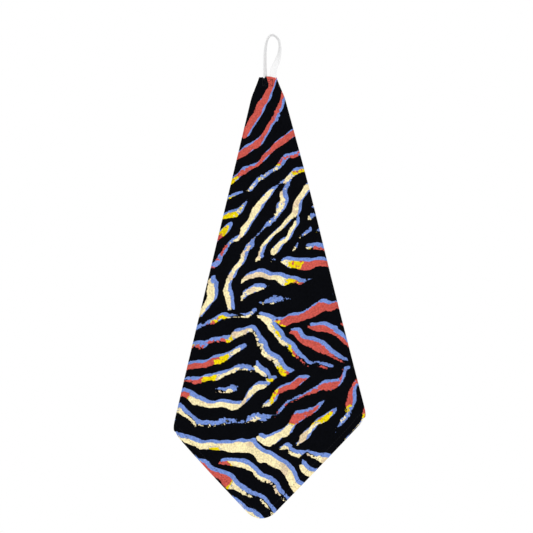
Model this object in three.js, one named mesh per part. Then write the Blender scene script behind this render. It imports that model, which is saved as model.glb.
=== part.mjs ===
// Golf towel: a square of printed terry hung by a tape loop from one corner. The side corners
// are pleated back behind the front, so each side is a wing of two layers that can open out flat.
// Millimetres, +Z up, -Y is the printed front, origin where a hook carries the loop.
import * as THREE from "three";

const DEGREE = Math.PI / 180;

// Cloth, laid flat: the pattern's own origin is the sharp upper corner, u to the right, v up.
const TOWEL_SIDE = 400;
const CORNER_RADIUS = 26;
const CLOTH_THICKNESS = 1.6;
const HEM_WIDTH = 10;
const HEM_THICKNESS = 1.2;
const HEM_END = 14; // bare length of edge beside a fold
const STITCH_FROM_EDGE = 8;
const THREAD_WIDTH = 0.8;
const THREAD_HEIGHT = 0.25;
const THREAD_CLEARANCE = 0.2;
const CLEARANCE = 0.3; // between pieces that touch

// Hanging shape
const CORNER_X = -4.3; // upper corner, from the hook
const LEAN = 0.85 * DEGREE; // of the diagonal, out of plumb
const DRAPE_RATIO = 0.945; // width of the curved front over its flat width
const FRONT_BULGE = 20;
const BULGE_LENGTH = 420; // the bulge grows down to here
const NECK_LENGTH = 70;
const SHOULDER_IN = 3.4; // gather of each side at the neck's top
const SHOULDER_LENGTH = 30;
const FOOT_SOFTNESS = 4; // rounds the front where a fold meets the lower edge
const HANG_OFFSET = 3.07; // puts the centre of mass under the seam

// Wings: where the fold starts down the upper edge, and its angle from the diagonal
const LEFT = { name: "left", side: -1, foldStart: 22.26, foldAngle: 13.3 * DEGREE };
const RIGHT = { name: "right", side: 1, foldStart: 23.28, foldAngle: 16.2 * DEGREE };
const INNER_SHARE = 0.52; // of a wing's angle, so that its free edge lies inside the front
const LAYER_GAP = 0.35; // from a layer's thread to the next layer
const LAYER_FOOT_RADIUS = 7;
const WING_TOP = 45; // the layers start this far down their fold
const FREE_EDGE_IN = 3; // of the free edge at its top, from the fold

// Loop and its seam
const LOOP_DROP = 49; // from the hook to the tape's ends
const TAPE_WIDTH = 8;
const TAPE_THICKNESS = 1.2;
const SEAM_RADIUS = 1.4; // rolled tip of the corner, tacked over the tape
const SEAM_WIDTH = 19;
const ROLL_TAKE_UP = 0.6; // the rounded tip rises this far round the tack
const TAIL_LENGTH = 12;
const TAIL_WIDTH = 15;
const LOOP_ROUTE = [ // x of the tape's middle, its share of the drop, and its turn from edge-on
  [-7.6, 1, 18], [-7.9, 0.673, 16], [-7.5, 0.38, 14], [-5.5, 0.14, 14], [-2.6, 0.02, 14],
  [1, -0.02, 14], [5.8, 0.025, 14], [9.2, 0.118, 16], [10.6, 0.265, 20], [9.9, 0.455, 34],
  [6.9, 0.653, 62], [3.2, 0.827, 82], [2.1, 1, 84],
];
const LOOP_STEPS = 40;

const SQRT_HALF = Math.SQRT1_2;
const LAYER_PITCH = CLOTH_THICKNESS + THREAD_CLEARANCE + THREAD_HEIGHT + LAYER_GAP;
const DIAGONAL = TOWEL_SIDE * Math.SQRT2;
const TIP_INSET = CORNER_RADIUS * (Math.SQRT2 - 1); // sharp corner to rounded tip
const SEAM_DROP = LOOP_DROP + 2 * CLEARANCE + SEAM_RADIUS;
const CORNER_DROP = SEAM_DROP - TIP_INSET - ROLL_TAKE_UP;
const CORNER_CENTRE = CORNER_RADIUS * Math.SQRT2; // sharp corner to the rounding's centre
const FOLD_SET_BACK = (LAYER_PITCH * Math.PI) / 4; // half of the cloth that the fold itself takes
const CLOTH_TOP = CORNER_DROP - SEAM_DROP - SEAM_RADIUS - CLEARANCE; // on the pattern, under the tack
const CORNER_STEPS = 8;
const EDGE_STEP = 14;
const TIP_FLAT = 0.6; // the lowest row of the front lies this far above the rounded tip

const cloth = { color: 0x14141a, roughness: 0.95, metalness: 0 };
const reverse = { color: 0xe9e7e2, roughness: 0.97, metalness: 0 };
const thread = { color: 0x101014, roughness: 0.8, metalness: 0 };
const tape = { color: 0xf4f4f2, roughness: 0.85, metalness: 0 };

function mesh(name, geometry, finish) {
  const piece = new THREE.Mesh(geometry, new THREE.MeshStandardMaterial(finish));
  piece.name = name;
  return piece;
}

// One closed body from points and triangles, turned to face outwards.
function closedGeometry(points, triangles) {
  const cross = new THREE.Vector3();
  let volume = 0;
  for (const [a, b, c] of triangles) volume += cross.crossVectors(points[b], points[c]).dot(points[a]);
  const faces = volume < 0 ? triangles.map(([a, b, c]) => [a, c, b]) : triangles;
  const geometry = new THREE.BufferGeometry().setFromPoints(points);
  geometry.setIndex(faces.flat());
  geometry.computeVertexNormals();
  return geometry;
}

// A sheet between two faces half its thickness before and behind rows of middle points.
function slab(rows, thickness) {
  const columns = rows[0].length;
  const half = new THREE.Vector3(0, thickness / 2, 0);
  const middle = rows.flat();
  const points = [...middle.map((p) => p.clone().sub(half)), ...middle.map((p) => p.clone().add(half))];
  const back = middle.length;
  const triangles = [];
  const wall = (a, b) => triangles.push([a, b, b + back], [a, b + back, a + back]);
  for (let i = 0; i + 1 < rows.length; i++) {
    for (let j = 0; j + 1 < columns; j++) {
      const a = i * columns + j;
      const c = a + columns;
      triangles.push([a, c, c + 1], [a, c + 1, a + 1]);
      triangles.push([a + back, c + 1 + back, c + back], [a + back, a + 1 + back, c + 1 + back]);
    }
    wall((i + 1) * columns, i * columns);
    wall(i * columns + columns - 1, (i + 1) * columns + columns - 1);
  }
  const last = (rows.length - 1) * columns;
  for (let j = 0; j + 1 < columns; j++) {
    wall(j, j + 1);
    wall(last + j + 1, last + j);
  }
  return closedGeometry(points, triangles);
}

// Points along an edge with a rounded corner, each with the way into the cloth.
function edgePath(corners, radius, inward) {
  const path = [];
  const normal = (direction) => new THREE.Vector2(-direction.y, direction.x).multiplyScalar(inward);
  let start = corners[0];
  for (let i = 1; i < corners.length; i++) {
    const along = corners[i].clone().sub(corners[i - 1]).normalize();
    const isCorner = i + 1 < corners.length;
    const next = isCorner ? corners[i + 1].clone().sub(corners[i]).normalize() : along;
    const tangent = radius * Math.tan(along.angleTo(next) / 2);
    const end = corners[i].clone().addScaledVector(along, -tangent);
    const count = Math.max(1, Math.round(start.distanceTo(end) / EDGE_STEP));
    for (let k = 0; k <= count; k++) {
      path.push({ at: start.clone().lerp(end, k / count), into: normal(along) });
    }
    if (!isCorner) break;
    const centre = end.clone().addScaledVector(normal(along), radius);
    for (let k = 1; k < CORNER_STEPS; k++) {
      const into = normal(along).lerp(normal(next), k / CORNER_STEPS).normalize();
      path.push({ at: centre.clone().addScaledVector(into, -radius), into });
    }
    start = corners[i].clone().addScaledVector(next, tangent);
  }
  return path;
}

// A band of cloth or a line of thread beside an edge; place gives the height off the sheet.
function band(path, from, width, thickness, place) {
  const row = ({ at, into }) => [from, from + width].map((d) => place(at.clone().addScaledVector(into, d)));
  return slab(path.map(row), thickness);
}

// The fold line of a side on the pattern, and the wing that it leaves.
function foldOf(side) {
  const slope = Math.tan(side.foldAngle);
  const topV = -side.foldStart * SQRT_HALF;
  const footV = ((slope - 1) * topV - DIAGONAL) / (slope + 1);
  const footU = footV + DIAGONAL;
  const top = new THREE.Vector2(DRAPE_RATIO * -topV, topV);
  const foot = new THREE.Vector2(DRAPE_RATIO * footU, footV);
  const angle = 45 * DEGREE - side.foldAngle;
  return {
    ...side,
    top,
    footV,
    halfWidth: (v) => DRAPE_RATIO * (footU - slope * (v - footV)),
    foldLength: foot.distanceTo(top),
    hangAngle: Math.atan2(foot.x - top.x, top.y - foot.y),
    footAngle: 45 * DEGREE + side.foldAngle,
    frontEdge: footU * Math.SQRT2,
    innerAngle: angle * INNER_SHARE,
    outerAngle: angle * (1 - INNER_SHARE),
    freeEdge: TOWEL_SIDE + topV * Math.SQRT2,
  };
}

const folds = [foldOf(LEFT), foldOf(RIGHT)];

// The front's middle surface: a shallow bulge between the folds that starts at the neck.
function frontDepth(u, v) {
  const [left, right] = folds.map((fold) => fold.halfWidth(v) - FOLD_SET_BACK);
  const across = Math.min(1, Math.abs((2 * u + left - right) / (left + right)));
  const bulge = FRONT_BULGE * Math.min(1, -v / BULGE_LENGTH);
  return HANG_OFFSET * THREE.MathUtils.smoothstep(-v, 0, NECK_LENGTH) - bulge * (1 - across * across);
}

function frontPoint(u, v, lift = 0) {
  return new THREE.Vector3(u, frontDepth(u, v) + lift, v);
}

// Half width of the front at a height, from fold, gathered shoulder, lower edge and rounded tip.
function frontHalfWidth(fold, v) {
  const gather = SHOULDER_IN * (1 - THREE.MathUtils.smoothstep(-v, TIP_INSET, TIP_INSET + SHOULDER_LENGTH));
  const atFold = fold.halfWidth(v) - FOLD_SET_BACK - gather;
  const above = v + DIAGONAL;
  const tangent = CORNER_RADIUS * SQRT_HALF;
  const onTip = Math.sqrt(Math.max(0, CORNER_RADIUS ** 2 - (above - CORNER_CENTRE) ** 2));
  const atEdge = DRAPE_RATIO * (above < tangent ? onTip : above);
  return -FOOT_SOFTNESS * Math.log(Math.exp(-atFold / FOOT_SOFTNESS) + Math.exp(-atEdge / FOOT_SOFTNESS));
}

function frontPanel() {
  const tip = TIP_INSET + TIP_FLAT - DIAGONAL;
  const heights = [];
  const rowsAbove = 24;
  const kneeV = folds[0].footV + 20;
  for (let i = 0; i < rowsAbove; i++) heights.push(CLOTH_TOP + ((kneeV - CLOTH_TOP) * i) / rowsAbove);
  const rowsBelow = 18;
  for (let i = 0; i <= rowsBelow; i++) {
    heights.push(tip + (kneeV - tip) * (1 - Math.sin((i / rowsBelow) * 90 * DEGREE)));
  }
  const columns = 14;
  const rows = heights.map((v) => {
    const left = -frontHalfWidth(folds[0], v);
    const step = (frontHalfWidth(folds[1], v) - left) / columns;
    return Array.from({ length: columns + 1 }, (_, j) => frontPoint(left + step * j, v));
  });
  return mesh("front_panel", slab(rows, CLOTH_THICKNESS), cloth);
}

function frontHem() {
  const end = (fold) => (fold.frontEdge - HEM_END) * SQRT_HALF;
  const corners = [
    new THREE.Vector2(-end(folds[0]), end(folds[0]) - DIAGONAL),
    new THREE.Vector2(0, -DIAGONAL),
    new THREE.Vector2(end(folds[1]), end(folds[1]) - DIAGONAL),
  ];
  const path = edgePath(corners, CORNER_RADIUS, 1);
  const hemLift = CLOTH_THICKNESS / 2 + CLEARANCE + HEM_THICKNESS / 2;
  const threadLift = -(CLOTH_THICKNESS / 2 + THREAD_CLEARANCE + THREAD_HEIGHT / 2);
  const onto = (lift) => (p) => frontPoint(p.x * DRAPE_RATIO, p.y, lift);
  const edgeInset = CLEARANCE;
  return [
    mesh("front_hem", band(path, edgeInset, HEM_WIDTH, HEM_THICKNESS, onto(hemLift)), cloth),
    mesh(
      "front_hem_thread",
      band(path, STITCH_FROM_EDGE, THREAD_WIDTH, THREAD_HEIGHT, onto(threadLift)),
      thread,
    ),
  ];
}

// A flat layer's outline: x across the layer away from its crease, y up the crease.
function flatLayer(name, outline, y, finish) {
  const geometry = new THREE.ExtrudeGeometry(new THREE.Shape(outline), {
    depth: CLOTH_THICKNESS,
    bevelEnabled: false,
  });
  geometry.rotateX(Math.PI / 2).translate(0, y + CLOTH_THICKNESS / 2, 0);
  return mesh(name, geometry, finish);
}

function layerTrim(name, path, y, hemSide) {
  const onto = (lift) => (p) => new THREE.Vector3(p.x, y + lift, p.y);
  const hemLift = hemSide * (CLOTH_THICKNESS / 2 + CLEARANCE + HEM_THICKNESS / 2);
  const threadLift = -hemSide * (CLOTH_THICKNESS / 2 + THREAD_CLEARANCE + THREAD_HEIGHT / 2);
  return [
    mesh(name + "_hem", band(path, CLEARANCE, HEM_WIDTH, HEM_THICKNESS, onto(hemLift)), cloth),
    mesh(
      name + "_hem_thread",
      band(path, STITCH_FROM_EDGE, THREAD_WIDTH, THREAD_HEIGHT, onto(threadLift)),
      thread,
    ),
  ];
}

// The two pleated layers of a side, each in the frame of its own crease at rest.
function wing(fold) {
  const { side, innerAngle, outerAngle, foldLength, footAngle, freeEdge } = fold;
  const inwards = -side;
  const at = (x, down) => new THREE.Vector2(x, -down);
  const footSlope = Math.tan(footAngle);
  const innerSlope = Math.tan(innerAngle);
  const innerInset = FOLD_SET_BACK / Math.cos(innerAngle);
  const creaseFoot = (foldLength * Math.sin(footAngle)) / Math.sin(innerAngle + footAngle);
  const seamAngle = innerAngle + footAngle;

  const inner = new THREE.Group();
  inner.position.set(side * fold.top.x, 0, fold.top.y);
  inner.rotation.y = -side * fold.hangAngle;
  const innerY = HANG_OFFSET + LAYER_PITCH;
  const farDown = (foldLength * footSlope + innerInset) / (innerSlope + footSlope);
  const near = at(inwards * FOLD_SET_BACK, foldLength - FOLD_SET_BACK / footSlope);
  const far = at(inwards * (farDown * innerSlope - innerInset), farDown);
  const innerEdges = [at(inwards * FOLD_SET_BACK, WING_TOP), near, far];
  const innerTop = at(inwards * (WING_TOP * innerSlope - innerInset), WING_TOP);
  const innerOutline = [...edgePath(innerEdges, LAYER_FOOT_RADIUS, inwards).map((p) => p.at), innerTop];
  inner.add(flatLayer(fold.name + "_inner_panel", innerOutline, innerY, cloth));
  const along = far.clone().sub(near).normalize();
  const hemNear = near.clone().addScaledVector(along, HEM_END);
  const hemFar = far.clone().addScaledVector(along, -HEM_END);
  inner.add(...layerTrim(fold.name + "_inner", edgePath([hemNear, hemFar], 0, inwards), innerY, -1));

  const outer = new THREE.Group();
  outer.rotation.y = side * innerAngle;
  const outerY = HANG_OFFSET + 2 * LAYER_PITCH;
  const start = at(side * FOLD_SET_BACK, creaseFoot - FOLD_SET_BACK / Math.tan(seamAngle));
  const corner = at(side * freeEdge * Math.sin(outerAngle), freeEdge * Math.cos(outerAngle));
  const freeTop = at(side * (WING_TOP * Math.tan(outerAngle) - FREE_EDGE_IN), WING_TOP);
  const outerEdge = edgePath([start, corner, freeTop], CORNER_RADIUS, side);
  const outerOutline = [at(side * FOLD_SET_BACK, WING_TOP), ...outerEdge.map((p) => p.at)];
  outer.add(flatLayer(fold.name + "_outer_panel", outerOutline, outerY, reverse));
  const hemEnds = [start, freeTop].map((end) => {
    return end.clone().addScaledVector(corner.clone().sub(end).normalize(), HEM_END);
  });
  const outerHem = edgePath([hemEnds[0], corner, hemEnds[1]], CORNER_RADIUS, side);
  outer.add(...layerTrim(fold.name + "_outer", outerHem, outerY, 1));
  inner.add(outer);
  return inner;
}

// The tape's middle line as one smooth curve; its face turns along the way.
function hangingLoop() {
  const stops = LOOP_ROUTE.map(([x, share]) => new THREE.Vector3(x, 0, -share * LOOP_DROP));
  const route = new THREE.CatmullRomCurve3(stops);
  const turns = LOOP_ROUTE.map(([, , turn]) => turn * DEGREE);
  const points = [];
  for (let i = 0; i <= LOOP_STEPS; i++) {
    const t = i / LOOP_STEPS;
    const place = t * (turns.length - 1);
    const k = Math.min(turns.length - 2, Math.floor(place));
    const turn = THREE.MathUtils.lerp(turns[k], turns[k + 1], place - k);
    const at = route.getPoint(t);
    const tangent = route.getTangent(t);
    const sideways = new THREE.Vector3(tangent.z, 0, -tangent.x);
    const across = new THREE.Vector3(0, Math.cos(turn), 0).addScaledVector(sideways, Math.sin(turn));
    const through = new THREE.Vector3().crossVectors(across, tangent).normalize();
    for (const [w, h] of [[-1, -1], [1, -1], [1, 1], [-1, 1]]) {
      points.push(
        at.clone()
          .addScaledVector(across, (w * TAPE_WIDTH) / 2)
          .addScaledVector(through, (h * TAPE_THICKNESS) / 2),
      );
    }
  }
  const triangles = [[0, 1, 2], [0, 2, 3]];
  for (let i = 0; i < LOOP_STEPS; i++) {
    for (let k = 0; k < 4; k++) {
      const a = 4 * i + k;
      const b = 4 * i + ((k + 1) % 4);
      triangles.push([a, a + 4, b + 4], [a, b + 4, b]);
    }
  }
  const end = 4 * LOOP_STEPS;
  triangles.push([end, end + 2, end + 1], [end, end + 3, end + 2]);
  return mesh("hanging_loop", closedGeometry(points, triangles), tape);
}

// The rolled corner tip with its dense tacking stitches, about which the towel swings.
function cornerTack() {
  const geometry = new THREE.CylinderGeometry(SEAM_RADIUS, SEAM_RADIUS, SEAM_WIDTH, 16);
  geometry.rotateZ(Math.PI / 2).translate(CORNER_X, 0, -SEAM_DROP);
  return mesh("corner_tack", geometry, thread);
}

// The tape's two ends, sewn down behind the cloth under the tack.
function loopTail() {
  const lift = CLOTH_THICKNESS / 2 + CLEARANCE + TAPE_THICKNESS / 2;
  const steps = 4;
  const rows = Array.from({ length: steps + 1 }, (_, i) => {
    const v = CLOTH_TOP - (TAIL_LENGTH * i) / steps;
    return [-0.5, 0, 0.5].map((share) => frontPoint(share * TAIL_WIDTH, v, lift));
  });
  return mesh("loop_tail", slab(rows, TAPE_THICKNESS), tape);
}

const towel = new THREE.Group();
towel.position.set(CORNER_X, 0, -CORNER_DROP);
towel.rotation.y = LEAN;
const wings = folds.map(wing);
towel.add(frontPanel(), ...frontHem(), loopTail(), ...wings);

const group = new THREE.Group();
group.add(towel, hangingLoop(), cornerTack());

// Hinge lines, as a point and an upward direction.
group.updateMatrixWorld(true);
group.userData.hinges = folds.flatMap((fold, i) => {
  const inner = wings[i];
  const outer = inner.children.at(-1);
  return [[inner, 0.5], [outer, 1.5]].map(([frame, layers]) => ({
    side: fold.name,
    point: new THREE.Vector3(0, HANG_OFFSET + layers * LAYER_PITCH, 0).applyMatrix4(frame.matrixWorld),
    up: new THREE.Vector3(0, 0, 1).transformDirection(frame.matrixWorld),
  }));
});

export default group;
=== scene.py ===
"""Golf towel: a printed terry square hung from one corner by a tape loop.

The cloth, its turned hems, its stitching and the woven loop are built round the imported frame. Shapes are
worked out in millimetres on the flat cloth and on the hanging one, and meshes are made in metres.
"""

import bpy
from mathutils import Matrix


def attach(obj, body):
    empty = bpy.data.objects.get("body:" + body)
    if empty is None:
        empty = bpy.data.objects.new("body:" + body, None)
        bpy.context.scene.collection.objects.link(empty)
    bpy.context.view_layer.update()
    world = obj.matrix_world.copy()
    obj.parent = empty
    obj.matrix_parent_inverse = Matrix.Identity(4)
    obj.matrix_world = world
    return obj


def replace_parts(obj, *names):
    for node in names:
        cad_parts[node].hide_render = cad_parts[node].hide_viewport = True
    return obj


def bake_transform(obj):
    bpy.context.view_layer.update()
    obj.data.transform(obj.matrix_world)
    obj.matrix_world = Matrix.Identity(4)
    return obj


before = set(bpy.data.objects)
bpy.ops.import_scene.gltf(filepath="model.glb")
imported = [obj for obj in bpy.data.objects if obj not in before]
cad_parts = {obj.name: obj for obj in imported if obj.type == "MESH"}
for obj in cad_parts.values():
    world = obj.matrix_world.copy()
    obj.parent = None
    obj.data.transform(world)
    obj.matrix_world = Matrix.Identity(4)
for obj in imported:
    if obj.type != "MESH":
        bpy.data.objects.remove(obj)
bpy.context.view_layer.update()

import logging
import math
from dataclasses import dataclass, field
from enum import Enum
from typing import Callable

import bpy
import numpy as np
from mathutils import Vector

log = logging.getLogger("golf_towel")
MM = 0.001
Array = np.ndarray
Place = Callable[[Array, Array], Array]


class Slot(Enum):
    """The record's material slots."""

    PRINT = "printed_terry"
    THREAD = "thread"
    TAPE = "loop_tape"


class Ink(Enum):
    """The print's colours, as linear red, green and blue."""

    BLACK = (0.0016, 0.0019, 0.0031)
    BLUE = (0.165, 0.262, 0.612)
    CORAL = (0.552, 0.090, 0.070)
    YELLOW = (0.807, 0.632, 0.0035)
    CREAM = (0.890, 0.765, 0.440)
    SAND = (0.720, 0.570, 0.370)


def smoothstep(value: Array, low: float, high: float) -> Array:
    """Smooth 0 to 1 between low and high.

    Args:
        value: Where to take it.
        low: Value that gives 0.
        high: Value that gives 1.

    Returns:
        The share, as an array of the same shape.
    """
    share = np.clip((np.asarray(value, float) - low) / (high - low), 0.0, 1.0)
    return share * share * (3.0 - 2.0 * share)


def unit(vectors: Array) -> Array:
    """The vectors at length 1."""
    return vectors / np.maximum(np.linalg.norm(vectors, axis=-1, keepdims=True), 1e-12)


# ---------------------------------------------------------------- the cloth, flat and hanging


@dataclass(frozen=True)
class Cut:
    """Sizes of the cloth and of the way it hangs, in millimetres."""

    side: float = 400.0
    corner_radius: float = 26.0
    thickness: float = 1.6
    hem_width: float = 10.0
    hem_thickness: float = 1.05
    hem_wrap: float = 0.8  # of the rolled edge, beyond the cloth it covers
    stitch_inset: float = 8.0
    stitch_pitch: float = 3.2
    stitch_length: float = 2.35
    corner_x: float = -4.3
    lean: float = math.radians(0.85)
    drape: float = 0.945
    bulge: float = 20.0
    bulge_length: float = 420.0
    set_off: float = 3.07
    set_off_from: float = 11.9
    set_off_to: float = 30.0
    shoulder_in: float = 3.4
    shoulder_length: float = 30.0
    foot_softness: float = 4.2
    foot_fade: tuple[float, float] = (40.0, 90.0)
    sag: float = 1.8
    sag_across: tuple[float, float] = (5.0, 70.0)
    sag_down: tuple[float, float] = (330.0, 440.0)
    bow: float = 1.7
    bow_drop: float = 145.0
    bow_reach: float = 95.0
    shoulder_out: float = 1.9
    shoulder_fade: tuple[float, float] = (28.0, 37.0)
    puff: float = 6.5
    puff_down: tuple[float, float] = (30.0, 380.0)
    pitch: float = 2.4
    inner_share: float = 0.52
    seam_drop: float = 51.0
    roll_take_up: float = 0.6
    ripple: float = 0.7

    @property
    def diagonal(self) -> float:
        """Length of the square's diagonal."""
        return self.side * math.sqrt(2.0)

    @property
    def tip_inset(self) -> float:
        """Distance from a sharp corner to its rounded tip."""
        return self.corner_radius * (math.sqrt(2.0) - 1.0)

    @property
    def corner_drop(self) -> float:
        """Height of the hook over the sharp upper corner."""
        return self.seam_drop - self.tip_inset - self.roll_take_up

    @property
    def set_back(self) -> float:
        """Half of the cloth that a fold takes."""
        return self.pitch * math.pi / 4.0


@dataclass(frozen=True)
class Fold:
    """One side's fold line and the pleated wing behind it."""

    cut: Cut
    name: str
    side: int
    start: float
    angle: float

    @property
    def top_v(self) -> float:
        """Height of the fold's top on the flat cloth."""
        return -self.start * math.sqrt(0.5)

    @property
    def slope(self) -> float:
        """Outward run of the fold line for each step down."""
        return math.tan(self.angle)

    @property
    def foot_v(self) -> float:
        """Height where the fold meets the lower edge."""
        return ((self.slope - 1.0) * self.top_v - self.cut.diagonal) / (self.slope + 1.0)

    @property
    def foot_u(self) -> float:
        """Distance of that foot from the diagonal."""
        return self.foot_v + self.cut.diagonal

    @property
    def hang_angle(self) -> float:
        """Angle of the hanging fold from the diagonal."""
        return math.atan2(self.cut.drape * (self.foot_u + self.top_v), self.top_v - self.foot_v)

    @property
    def length(self) -> float:
        """Length of the hanging fold line."""
        return math.hypot(self.cut.drape * (self.foot_u + self.top_v), self.top_v - self.foot_v)

    @property
    def foot_angle(self) -> float:
        """Angle between the fold line and the lower edge of the wing."""
        return math.radians(45.0) + self.angle

    @property
    def wing_angle(self) -> float:
        """Angle between the fold line and the free edge, at the top."""
        return math.radians(45.0) - self.angle

    @property
    def inner_angle(self) -> float:
        """The inner layer's share of the wing's angle."""
        return self.wing_angle * self.cut.inner_share

    def half_width(self, v: Array) -> Array:
        """Distance of the fold line from the diagonal at height v, as it hangs."""
        return self.cut.drape * (self.foot_u - self.slope * (v - self.foot_v))

    def across_at(self, t: Array, beyond: float, angle: float) -> Array:
        """Distance across the wing where a line from its top meets a row.

        Args:
            t: The row's share of the fold line's length.
            beyond: How far past the line, square to it.
            angle: The line's angle from the fold line.

        Returns:
            The distance from the fold line.
        """
        run = math.cos(angle) + math.sin(angle) / math.tan(self.foot_angle)
        return (t * self.length * math.sin(angle) + beyond) / run

    def down_at(self, t: Array, across: Array) -> Array:
        """Distance down the fold line of a point of row t, at a distance across the wing."""
        return t * self.length - across / math.tan(self.foot_angle)


class HangingCloth:
    """Where each point of the flat cloth hangs."""

    def __init__(self, cut: Cut) -> None:
        """Keeps the cut and makes its two folds."""
        self.cut = cut
        self.left = Fold(cut, "left", -1, 22.26, math.radians(13.3))
        self.right = Fold(cut, "right", 1, 23.28, math.radians(16.2))
        self.folds = (self.left, self.right)

    def world(self, u: Array, y: Array, v: Array) -> Array:
        """Points of the hanging plane, u to the right of the diagonal and v up it, in the row frame."""
        cos, sin = math.cos(self.cut.lean), math.sin(self.cut.lean)
        x = self.cut.corner_x + u * cos + v * sin
        z = -self.cut.corner_drop - u * sin + v * cos
        return np.stack([x, y, z], axis=-1)

    def gathered(self, u: Array, v: Array) -> Array:
        """u after the gather at the shoulders and the soft turn at the feet of the folds.

        Args:
            u: Distance from the diagonal, right positive.
            v: Height on the pattern.

        Returns:
            The drawn-in u.
        """
        cut = self.cut
        at_fold = np.where(u < 0, self.left.half_width(v), self.right.half_width(v)) - cut.set_back
        gather = cut.shoulder_in * (1.0 - smoothstep(-v, cut.tip_inset, cut.tip_inset + cut.shoulder_length))
        at_edge = np.maximum(cut.drape * (v + cut.diagonal), 0.01)
        near = np.minimum(at_fold - gather, at_edge)
        far = np.maximum(at_fold - gather, at_edge)
        rounding = cut.foot_softness * np.log1p(np.exp(-(far - near) / cut.foot_softness))
        rounding = rounding * smoothstep(at_edge, *cut.foot_fade)
        share = np.clip(np.abs(u) / np.maximum(np.minimum(at_fold, at_edge), 0.01), 0.0, 1.0)
        bow = cut.bow * np.exp(-(((v + cut.bow_drop) / cut.bow_reach) ** 2)) * (u > 0)
        return u + np.sign(u) * (bow * share - gather * share - rounding * share**3)

    def settled(self, u: Array, y: Array, v: Array) -> Array:
        """Points in the row frame once the cloth has gathered, bowed and sagged to the left."""
        cut = self.cut
        sag = cut.sag * smoothstep(-u, *cut.sag_across) * smoothstep(-v, *cut.sag_down)
        return self.world(self.gathered(u, v), y, v - sag)

    def front_depth(self, u: Array, v: Array) -> Array:
        """y of the front's middle surface: a shallow bulge with faint ripples that fan from the neck."""
        cut = self.cut
        left = self.left.half_width(v) - cut.set_back
        right = self.right.half_width(v) - cut.set_back
        across = np.clip((2.0 * u + left - right) / (left + right), -1.0, 1.0)
        crown = 1.0 - across * across
        bulge = cut.bulge * np.minimum(1.0, -v / cut.bulge_length) * crown
        fan = np.sin(across * 9.0 + 0.8 * np.sin(v / 70.0)) + 0.6 * np.sin(across * 15.5 + v / 90.0 + 1.3)
        ripple = cut.ripple * fan * crown * smoothstep(-v, 20.0, 90.0)
        return cut.set_off * smoothstep(-v, cut.set_off_from, cut.set_off_to) - bulge + ripple

    def front(self, flat_u: Array, v: Array) -> Array:
        """Points of the front's middle surface for places on the flat cloth."""
        u = self.cut.drape * flat_u
        return self.settled(u, self.front_depth(u, v), v)

    def wing(self, fold: Fold) -> Place:
        """The place function of a wing, for distances across it and down its fold line."""

        def place(a: Array, b: Array) -> Array:
            """Points of the wing: the front, the fold, the inner layer, the crease and the outer layer."""
            cut, side = self.cut, fold.side
            back, radius, turn = cut.set_back, cut.pitch / 2.0, fold.inner_angle
            past = a * math.cos(turn) - b * math.sin(turn)
            along = a * math.sin(turn) + b * math.cos(turn)
            first = np.clip((a + back) / (2.0 * back), 0.0, 1.0) * math.pi
            x = -side * (np.maximum(a, back) - radius * np.sin(first) * (np.abs(a) < back))
            y = cut.set_off + radius - radius * np.cos(first)
            z = -b
            second = np.clip((past + back) / (2.0 * back), 0.0, 1.0) * math.pi
            x2 = side * (np.maximum(past, back) - radius * np.sin(second) * (np.abs(past) < back))
            cos, sin = math.cos(side * turn), math.sin(side * turn)
            crossed = past > -back
            x = np.where(crossed, x2 * cos - along * sin, x)
            z = np.where(crossed, -x2 * sin - along * cos, z)
            y = np.where(crossed, cut.set_off + cut.pitch + radius - radius * np.cos(second), y)
            y = y + self.puff(fold, x, z) * (a > -back)
            on_front = a < -back
            x = np.where(on_front, side * a, x)
            z = np.where(on_front, -b, z)
            cos, sin = math.cos(side * fold.hang_angle), math.sin(side * fold.hang_angle)
            u = side * cut.drape * -fold.top_v + x * cos - z * sin
            v = fold.top_v + x * sin + z * cos
            y = np.where(on_front, self.front_depth(u, v), y)
            return self.settled(u, y, v)

        return place

    def puff(self, fold: Fold, x: Array, z: Array) -> Array:
        """How far the layers of a wing stand off, between its fold and its crease."""
        inside = np.arctan2(-fold.side * x, np.maximum(-z, 1.0))
        share = np.clip(inside / fold.inner_angle, 0.0, 1.0)
        down = np.hypot(x, z)
        wave = 1.0 + 0.3 * np.sin(down / 26.0 + fold.side)
        height = self.cut.puff * smoothstep(down, *self.cut.puff_down) * wave
        return height * np.sin(math.pi * share) ** 2

    def flat_of(self, fold: Fold, a: Array, b: Array) -> tuple[Array, Array]:
        """Places on the flat cloth of points of a wing."""
        cos, sin = math.cos(fold.angle), math.sin(fold.angle)
        return fold.side * (-fold.top_v + b * sin + a * cos), fold.top_v - b * cos + a * sin


# ---------------------------------------------------------------- the print


@dataclass(frozen=True)
class Mark:
    """A mark on the flat cloth: a stripe's angle in degrees, or a ground colour from -1 to 1."""

    u: float
    v: float
    value: float


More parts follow.
